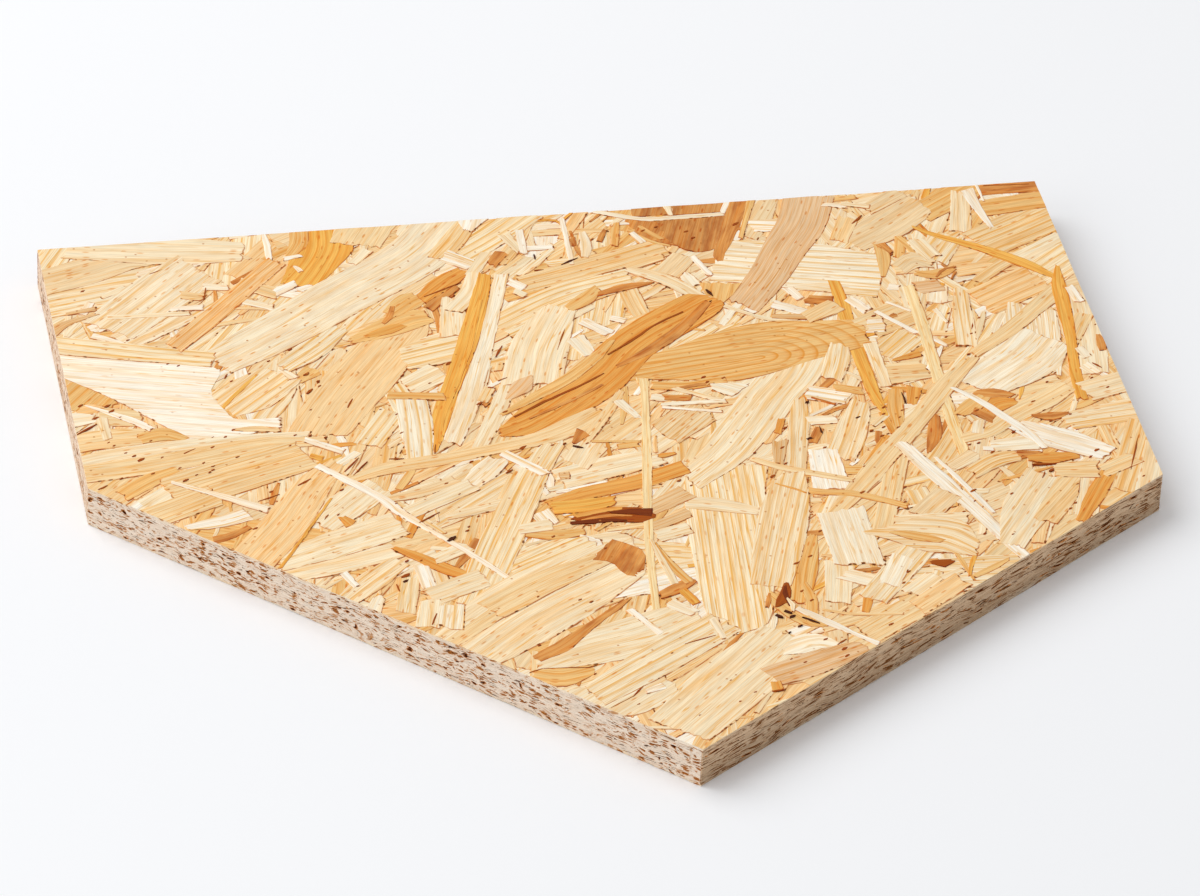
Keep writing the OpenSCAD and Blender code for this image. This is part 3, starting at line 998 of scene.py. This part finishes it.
lay("banded", (-58, -62, 14), (-40, -54, 16), (-22, -48, 8), grain=28)
lay("banded", (-76, -84, 14), (-60, -48, 17), (-47, -20, 15), (-36, 2, 12), (-25, 20, 9))
lay("ivory", (-67, -8, 5), (-57, 3, 11), (-49, 12, 9))
lay("dun", (-100, -10, 4), (-85, -7, 6), (-68, 0, 7))
lay("cream", (-95, -22, 8), (-62, -4, 9))
lay("pink", (-38, 53, 2), (-31, 61, 9), (-26, 68, 1.5))
lay("tan", (-49, 52, 5), (-44, 62, 5))
lay("tan", (-39, 73, 3), (-37, 79, 4))
lay("tan", (-112, 5, 4), (-95, 11, 8), (-75, 14, 8), (-50, 19, 7), (-30, 24, 9), (-15, 31, 12),
    (-2, 40, 8))
lay("tan", (9, 53, 3), (0, 38, 5), (-13, 19, 5))
lay("rust", (-17, 19, 2), (-12, 26, 7))
lay("white lined", (-47, 16, 5), (-32, -1, 5))
lay("honey", (-10, 19, 1.5), (10, 16.5, 2))
lay("honey", (0, 14, 4), (9, 15, 4))
lay("ivory", (6, 46, 5), (12, 33, 3))
lay("ivory", (20, 47, 5), (27, 45, 5))
lay("paleyellow", (19, 60.5, 6), (18.3, 52, 3.5), (11, 10, 4), (4, -28, 3.8), (-1.5, -62, 3.5),
    (-5.5, -96, 3))
lay("cream", (-50, -37, 6), (-36, -35, 8))
lay("cream", (-86, -52, 6), (-72, -45, 8))
lay("bark", (-27, -33, 2), (-23, -32, 5.5), (-12, -31, 9.5), (0, -33, 10), (5, -32.5, 6))
lay("amber", (-26, -31, 2), (-17, -28.5, 3), (-6, -27.5, 1.5))
lay("rust", (-24, -33.5, 1), (-12, -32, 2), (-3, -33.5, 0.8))
lay("char", (-28.5, -35, 2), (-15, -35, 2.5), (-6, -36, 1))
lay("char", (-12, -30, 1), (-4, -30.5, 3), (5, -32, 5.5))
lay("white", (-122.5, 17, 4), (-110, 3, 4), (-100, -9, 4.5), (-95, -18, 5), (-85, -32, 2.5),
    (-70, -52, 3), (-56.5, -72, 2.5))
# right of the middle
lay("dun fine", (20, 21, 18), (41, 35, 16), grain=45)
lay("honey lined", (22, 55, 6), (36, 53, 6), (53, 55, 4))
lay("rust", (33, 51.5, 2), (40, 53, 2.5), (48, 53, 1.5))
lay("ivory", (46, 51, 4), (53, 48, 10), (61, 50, 2), grain=-35)
lay("rust", (25, 46, 4), (36, 44, 4))
lay("straw", (30, 52, 2.5), (48, 41, 3))
lay("ivory", (23, 41, 2.5), (50, 40, 3))
lay("white", (23, 39, 2), (47, 33, 2))
lay("straw lined", (66, -20, 8), (72, 5, 9), (78, 28, 8), (80, 38, 4))
lay("white lined", (84, 42, 10), (100, 36, 10), grain=-20)
lay("ivory", (80, 22, 6), (92, 22, 6))
lay("rust", (85, 38, 1.5), (94, 32, 1))
lay("honey", (96, 44, 5), (107, 40, 5), grain=-30)
lay("tan", (119, 50, 14), (137, 53, 14), grain=0)
lay("amber", (124, 60, 2), (137, 64, 5))
lay("taupe", (62, -6, 4), (66, 10, 7))
lay("taupe", (60, -8, 3), (57.5, -15, 1.5))
lay("amber", (66, 15, 3), (70, 25, 3))
lay("rust", (79, 7, 4), (84, 17, 4))
lay("straw lined", (88, -5, 12), (95, 10, 14), (105, 33, 8))
lay("straw", (117.5, 42, 5), (117.5, 74, 6))
lay("honey lined", (116, 12, 4), (118, 27, 7), (121, 40, 6))
lay("amber", (125, 28, 4), (129, 41, 7))
lay("cream", (74, -46, 8), (84, -28, 10))
lay("white", (80, -26, 16), (82, 2, 12))
lay("amber", (97, -11, 2), (105, 0, 4), (110, 8, 3))
lay("rust", (124, -6, 1.5), (129, 5, 6), (133, 20, 4))
lay("paleyellow", (143, 113, 5), (142.5, 90, 5.5), (140.5, 50, 5.5), (138.8, 10, 5.5),
    (138.5, -20, 4.5))
lay("cream lined", (96, 50, 9), (101, 62, 11), (105, 74, 8))
lay("tan", (93, -58, 8), (101, -36, 9), (109, -14, 9), (116, 4, 8))
lay("tan", (73, -48, 5), (90, -27, 9), (105, -8, 10), (125, 17, 9), (143, 41, 9), (158, 58, 5))
lay("tan", (52, -1, 3), (62, -8, 4), (75, -14, 4), (90, -21, 3))
lay("honey", (58, -18, 3), (72, -26, 4), (88, -30, 4), (108, -41, 4))
lay("white", (114, 2, 6), (122, -17, 7.5), (132, -42, 7), (147, -82, 5))
lay("white", (126, -9, 1.5), (132, -25, 2.5), (139, -45, 2.5), (141, -50, 1.5))
# right end
lay("straw lined", (185, 8, 12), (219, 14, 16), grain=8)
lay("straw", (198, 28, 14), (219, 34, 14))
lay("tan lined", (197, -42, 14), (217, 4, 14))
lay("cream", (205, -45, 10), (219, -10, 10))
lay("straw", (176, -56, 12), (188, -22, 14))
lay("amber", (174, -60, 4), (184, -44, 8), (192, -31, 7), (199, -20, 4))
lay("cream", (143, -72, 10), (155, -48, 20), (168, -26, 16), grain=55)
lay("tan", (160, -58, 10), (172, -40, 12), (178, -28, 8), grain=50)
lay("dun", (112, -48, 12), (126, -34, 12))
lay("tan lined", (138, -22, 8), (150, -14, 10), (160, -12, 8))
lay("tan", (172, -24, 10), (190, -26, 12))
lay("tan", (191, -28, 8), (207, -20, 9))
lay("rust", (160, -11, 4), (169, -13, 5))
lay("amber", (163, -15, 3), (172, -16, 8), (184, -15, 4))
lay("tan", (140, 2, 6), (152, 6, 8), (165, 16, 10), (180, 25, 12), (192, 33, 8))
lay("rust", (172, 14, 2), (179, 12.5, 6), (188, 14, 2))
lay("rust", (152, 33, 4), (161, 31, 8), (168, 29, 2))
lay("amber", (154, 18, 5), (160, 24, 10), (168, 25, 4))
lay("honey", (142, 18, 4), (149, 24, 9), (156, 30, 5))
lay("straw", (131, -17, 7), (143, -9, 8))
lay("rust", (149, 21, 5), (156, 14, 6))
lay("ivory", (147, 5, 5), (150, 14, 5))
lay("ivory", (151, -5, 8), (170, -4, 11))
lay("white", (164, 9, 8), (172, 2, 14), (184, -6, 15), (197, -16, 10))
lay("white", (144, 38, 2), (151, 30, 3), (160, 16, 4), (168, 2, 4), (172, -9, 2.5))
# front
lay("straw", (-84, -112, 30), (-55, -88, 40), (-20, -66, 30), (-5, -58, 20))
lay("tan", (-90, -108, 6), (-60, -84, 8), (-38, -70, 5))
lay("tan", (-70, -88, 14), (-45, -72, 14), (-20, -60, 8))
lay("cream", (-58, -125, 6), (-35, -117, 20), (-10, -110, 26), (10, -100, 16))
lay("rust", (-58, -121, 4.5), (-46, -114, 7), (-38, -107, 5), (-29, -99, 3.5), (-21, -92.5, 3),
    (-15, -87, 1))
lay("rust", (-15, -47, -23, -61), (-8, -52, -17, -63), (-3, -58, -14, -71), (-6, -69, -10, -73),
    grain=60)
lay("honey", (-61, -130, 5), (-50, -133.5, 12), (-37, -131, 4))
lay("cream", (-48, -146, 8), (-30, -150, 22), (-10, -140, 20), grain=35)
lay("cream lined", (-40, -147, 14), (-15, -130, 18), (20, -107, 16))
lay("straw", (-12, -172, 26), (15, -145, 30), (42, -118, 22))
lay("banded", (-103, -85, 8), (-97, -62, 8))
lay("straw", (-92, -76, 12), (-68, -66, 12))
lay("cream", (-96, -95, 10), (-92, -78, 8))
lay("ivory lined", (-88, -97, 12), (-84, -82, 10))
lay("white", (-92, -55, 6), (-91, -70, 6))
lay("white", (-16, -94, 3.5), (-7, -111, 3.5))
lay("white", (-20, -147, 3), (-12, -144, 4))
lay("rust", (-3, -87, 4), (5, -83, 6), (13, -78, 4))
lay("gold", (7, -84, 4), (11, -94, 4))
lay("honey lined", (2, -52, 1.5), (6, -68, 4), (11, -80, 4))
lay("straw", (1, -50, 1.5), (3, -66, 3), (5, -80, 3))
lay("ivory", (0, -92, 6), (9, -100, 5))
lay("honey lined", (51, -98, 8), (58, -75, 11), (66, -55, 3))
lay("straw lined", (42, -86, 16), (50, -62, 20), (58, -38, 20), (64, -20, 14), (67, -12, 8))
lay("amber", (58, -19, 0.8), (64, -23, 1.2), (69, -27, 1))
lay("cream", (66, -100, 10), (72, -75, 12))
lay("ivory", (72, -82, 8), (86, -90, 9))
lay("cream lined", (80, -100, 12), (108, -66, 14))
lay("ivory", (88, -92, 9), (98, -74, 9))
lay("cream", (96, -98, 9), (108, -88, 8))
lay("tan", (72, -122, 14), (100, -104, 14))
lay("peach", (96, -108, 10), (118, -92, 10))
lay("ivory", (80, -77, 20), (80, -40, 20), grain=90)
lay("straw", (100, -50, 8), (130, -52, 8))
lay("straw lined", (86, -56, 1.5), (97, -58, 10), (110, -60, 24), (120, -63, 24), (129, -72, 10))
lay("honey", (97, -57, 2), (106, -61, 6), (116, -66, 3))
lay("bark", (108, -79, 2), (113, -80.5, 5), (117, -79, 2))
lay("ivory", (38, -129, 3), (46, -125.5, 12), (53, -124, 10), (61, -127.5, 2))
lay("pink lined", (30, -144, 13), (50, -137, 14), (70, -129, 8))
lay("amber", (31, -147, 4), (31, -153, 4.5))
lay("ivory", (15, -104, 5), (17, -118, 2))
lay("honey", (40, -91, 4), (45, -100, 8), (52, -111, 6), (58, -115, 2))
lay("honey lined", (55, -86, 3), (56, -98, 5), (53, -111, 4))
lay("rust", (40.5, -91, 1), (39, -96, 2.2), (37.5, -100, 1))
lay("bark", (48.5, -85, 2), (47, -91, 4.5), (44, -97, 4.5), (41.5, -100, 1.5))
lay("char", (47.5, -87, 1), (46.5, -92, 2.2), (47, -100, 1))
lay("cream", (46.5, -95, 1), (48, -100, 2), (47, -104, 1))
lay("tan", (59, -104, 1.5), (70, -108.5, 2), (90, -111, 1.5))
lay("white", (49, -102, 3), (62, -115, 3.5), (68, -121, 2), (76, -129, 3))


def mark(finish, *spots):
    """Chips of bark and open gaps: each one's place and size, or both its ends and its width.
    The press leaves them seven tenths of that width."""
    for spot in spots:
        if len(spot) == 3:
            x, y, size = spot
            spot = x - 0.6 * size, y - 0.4 * size, x + 0.6 * size, y + 0.4 * size, size
        x, y, end_x, end_y, width = spot
        width *= 0.7
        lay(finish, (x, y, 0.5 * width), ((x + end_x) / 2, (y + end_y) / 2, width),
            (end_x, end_y, 0.3 * width))


# gaps and chips, from the back left corner to the front right
mark("bark", (-171, 161, -165, 164, 1), (-200, 152, 1.5), (-151, 140, -149, 148, 1),
     (-186, 114, 1.2), (-60, 130, -43, 139, 1.2), (129.5, 162, 135, 168, 2),
     (-11, 144, -7, 144, 1.2), (80, 168, 2.5), (40, 168, 1.5), (46, 170, 1.2), (58, 165, 1.5),
     (60, 160, 1.5), (141, 137, 1.2), (192, 184, 212, 183, 1), (-172, 95, 1), (-168, 93, 1),
     (-150.5, 82, -149, 85, 1), (-148, 79.5, 1), (-140, 84, 1), (-131, 92, 1), (-121, 99, 1.5),
     (-117, 80.5, 2), (-113, 74, 1), (-113, 71.5, 1.2), (-119, 67, -116, 70, 2), (-119, 55.5, 1),
     (-211, 70, 1.6), (-206, 60.5, 2), (-200, 68.5, 2), (-199, 64.5, 2), (-196, 60, 1),
     (-216, 49, -206, 56.5, 1.3), (-203, 43, 1), (-201, 40.5, 1), (-186, 42, 1), (-197, 35, 1),
     (-194, 32.5, 1.4))
mark("bark", (-191.5, 29.5, 2.4), (-183, 30, 1), (-162, 34.5, 1.4), (-174, 31.5, -169, 34.5, 0.9),
     (-167, 24.5, 1.1), (-177, 22, 1.1), (-188, 19.5, 1.4), (-153, 26.5, 1.4), (-163.5, 21.5, 1.2),
     (-164, 19, 1), (-165.5, 17.5, 1), (-171, 16.5, 1), (-177, 12.5, -174.5, 14, 1.4),
     (-161, 41.5, 0.9), (-156, 41, 1.1), (-152, 45.5, 1.2), (-131, 31.5, 1), (-128, 38.5, 1),
     (-122, 37.5, 1.2), (-116, 35.5, 1.2), (-211, 11.5, -207, 14, 1.4), (-201, 18, 1),
     (-143, 1.5, 1.3), (-149, -4.5, -140, -1, 0.9), (-132, 4, -126, 8, 1.6),
     (-125, -20, -123, -17, 0.9), (-115, -1, 1.4), (-119, -17.5, 1), (-147, -53.5, 2),
     (-153, -22.5, 1.8), (-91.5, -52, 1), (-103.5, -66, -103, -71, 0.9), (-95, -13, 0.9),
     (-97, -51.5, 1.3))
mark("bark", (-58, 81, 2.2), (-104, 55, -101, 61, 1.3), (-113, 75, 1), (-81, 70, 1), (-78, 75, 1),
     (-68, 68, 1), (-85, 48, 1), (-85, 35, 1.2), (-91, 52, 0.9), (-93, 17.5, -87, 17, 0.8),
     (-74, 19, -73, 25, 0.8), (-60.5, 11.5, 1.4), (-68, 9.5, 1), (-41, 44, 1.8), (-38, 18.5, 2.4),
     (-31.5, 18.5, 1.1), (-26, 18.5, 1.2), (-21, 19, 1.1), (-12, 18, 1.2), (-10, 79, 1),
     (-13, 71.5, 1.1), (-40, 66, -36, 68, 1.2), (-38, 83, -34, 91, 1.6), (-45, 62, -42, 61, 1.4),
     (-50.5, 51, 1.8), (-6, 100, -12, 85, 0.8), (-112, 11, -105, 20, 1.3), (-109, 8, -102, 17, 0.9),
     (-88, -27, -79, -21, 1.1), (-70, -34.5, 1.2), (-69, -32, 0.9), (-64, -25.5, 1), (-73, -2, 1.4),
     (-48, 2, -45, 4, 1.4), (-58, -3, 1), (-69, -10, 0.9), (-37, -43, 1.2), (-18, -53.5, 1.3))
mark("bark", (26, 58, 1.6), (44, 58, 1.6), (45, 54.5, 1.4), (52, 56.5, 1.3), (70, 18.5, 1.6),
     (66, 5, 1.6), (65, -6, 1.3), (58, -14, 1.8), (71, -20, 72, -16, 0.9), (54, 3, 1),
     (20, -12, 1.4), (24, -16, 1), (91.5, -29.5, 1.8), (69, -53, 1.3), (55, -73, 1.8),
     (61.5, -69, 1.6), (103.5, -41.5, 1.3), (107, -38, 1.2), (109, -28, 1.2), (108, 8, 1.4),
     (83, 3, 1.2), (96, -12, 1), (113, 27.5, 1.6), (112, 23, 1.3), (116, 13, 1.4), (110, 14, 1.3),
     (104.5, 12, 1.3), (120, 24.5, 1.2), (118, 20, 1), (128, 32.5, 1.1), (123.5, 93, 1.6),
     (162, 78, 163.5, 83, 0.9), (161, 75, 1), (167, 86, 1.1), (155, 91, 1.2), (151, 78, 1),
     (156.5, 60.5, 1.2), (150, 74, 1), (189, 43, 1), (184, 37, 1), (203, 37.5, 1), (208, 30, 1.2),
     (214, 75, 0.9))
mark("bark", (206, 48, 209, 44, 1.3), (179, 9.5, 1.2), (188, 13, 1), (175, 24, 1.5),
     (150.5, 20.5, 1.4), (162, 4, 1.6), (142, -2.5, 1.2), (146, -2, 1.2), (150, -9, 1.7),
     (136, -34, 2.2), (135, -41, 1), (129, -47.5, 1), (171, -24, 1.8), (166, -29, 168, -25, 0.9),
     (164, -19.5, 174, -20, 1.3), (175, -47.5, 1.4), (172, -51, 1.3), (179, -35, 1.1),
     (189, -17, 1.4), (192.5, -13, 1.8), (207, -33, 1.2), (190.5, -40.5, 1),
     (203, -28, 212, -5, 0.7), (145, -65, 0.9), (134, -63, 1.2), (151, -38, 1.2),
     (28.5, -153, 33, -153, 1.4), (62, -130, 2), (56, -123, 1.6), (60, -127, 64, -124, 0.9),
     (45, -136.5, 1.2), (40, -134, 1), (62, -134.5, 1.6), (1, -119, 14, -115, 0.9), (-5, -124, 1),
     (22, -152.5, 1.2), (14, -144, 0.8), (83.5, -117, 1.8))
mark("bark", (53.5, -91, 1.2), (56, -97.5, 1.2), (98, -84, 1.4), (94.5, -91, 1.2),
     (-34, -85.5, 1.2), (-30, -87.5, 1.3), (-22, -88, 0.9), (-50, -81.5, 1), (-37, -133, 0.9),
     (-55, -112.5, 0.9), (-24, -154, 1), (-35, -155, -25, -149, 0.7), (-25, -149, -20, -143, 1.4),
     (-94, -94, -91, -87, 1.1), (-103, -93.5, 0.9), (-62, -129, -56, -127, 1),
     (-56, -127, -38, -129, 0.6), (-99, -61, 2.6), (15, -157.5, 1), (-2, -164, 1))
# open gaps, laid on top as dark strands whose colour is painted shade
mark("pit", (1, 146.5, 9, 151, 1.8), (-9, 152, -9, 156, 1.3), (58, 121, 59.5, 116, 2),
     (58, 112, 1.1), (-79, -41, -75, -38, 2.6), (-99.5, -64.5, 1.8), (-18, 17, -14, 15, 2),
     (44, -103, 46.5, -105, 2.2), (40, -105, 42.5, -107, 2), (45, -107.5, 47.5, -106.5, 1.8),
     (50, -108, 56, -113, 2), (82.5, 35, 1.6), (101, 22, 1.7), (122.7, 29, 122.7, 37, 1.1),
     (77, 9.8, 80, 9.8, 1.3), (84, 13, 84, 18, 1.3), (78, 10, 1.6), (47, -114, 49, -113, 1.2),
     (43, -117, 1.1))
upper_layer = face.take()
face.press()
gather(lower_layer, face, "face_lower_strands", coarse=1.6)
gather(upper_layer, face, "face_upper_strands")

# --- Underside -----------------------------------------------------------------------
# The other face of the sheet, pressed from the same strands, whichever way they fell. The
# board rests on the highest of them. It has its own dice, so that a change to the top face
# leaves it as it is.
dice = random.Random(11)
base = Pile()
base.spread(MIXED)
base.scatter(160, MIXED, (25, 60), (4, 12))
base.scatter(160, FINES, (8, 30), (1.5, 4.5))
base.scatter(130, MIXED, (60, 130), (8, 34))
base.scatter(60, FINES, (20, 60), (2, 4.5))
base.press()
gather(base.take(), base, "underside_strands", coarse=1.45, under=True)

# --- Studio --------------------------------------------------------------------------
# Pale floor, a large soft key lamp from the back left, a weak fill lamp from the front left,
# and a camera with a long lens, which looks down on the front corner a little aslant.
LOOKED_AT, DISTANCE = Vector((-0.0047, 0.0265, 0.009)), 2.674
plain, tree, surface = new_finish("white_floor")
surface["Base Color"].default_value = (0.95, 0.96, 0.98, 1)
surface["Roughness"].default_value = 0.8
surface["Specular IOR Level"].default_value = 0.2
bm = bmesh.new()
bmesh.ops.create_grid(bm, x_segments=1, y_segments=1, size=4000)
floor = finish_piece(bm, "floor", plain)

world = bpy.data.worlds.new("studio")
bpy.context.scene.world = world
world.use_nodes = True
sky = world.node_tree.nodes["Background"]
sky.inputs["Color"].default_value = (1, 1, 1, 1)
sky.inputs["Strength"].default_value = 0.53


def lamp(name, place, size, power):
    """A round soft lamp that faces the board."""
    light = bpy.data.lights.new(name, "AREA")
    light.shape, light.size, light.energy = "DISK", size, power
    hung = put(name, light)
    hung.location = place
    hung.rotation_euler = Vector(place).to_track_quat("Z", "Y").to_euler()


lamp("key", (-2.1, 1.6, 3.0), 3.8, 95)
lamp("fill", (-3.2, -1.6, 1.8), 2.8, 28)

camera = put("camera", bpy.data.cameras.new("camera"))
camera.data.sensor_width = 36
camera.data.lens = 197.8
azimuth, elevation, roll = math.radians(-12.35), math.radians(35.33), math.radians(2.91)
back = Vector((math.sin(azimuth) * math.cos(elevation),
               -math.cos(azimuth) * math.cos(elevation), math.sin(elevation)))
camera.location = LOOKED_AT + back * DISTANCE
facing = back.to_track_quat("Z", "Y").to_matrix()
camera.rotation_euler = (facing @ Matrix.Rotation(roll, 3, "Z")).to_euler()
bpy.context.scene.camera = camera

bpy.context.scene.view_settings.view_transform = "Standard"
bpy.context.view_layer.update()
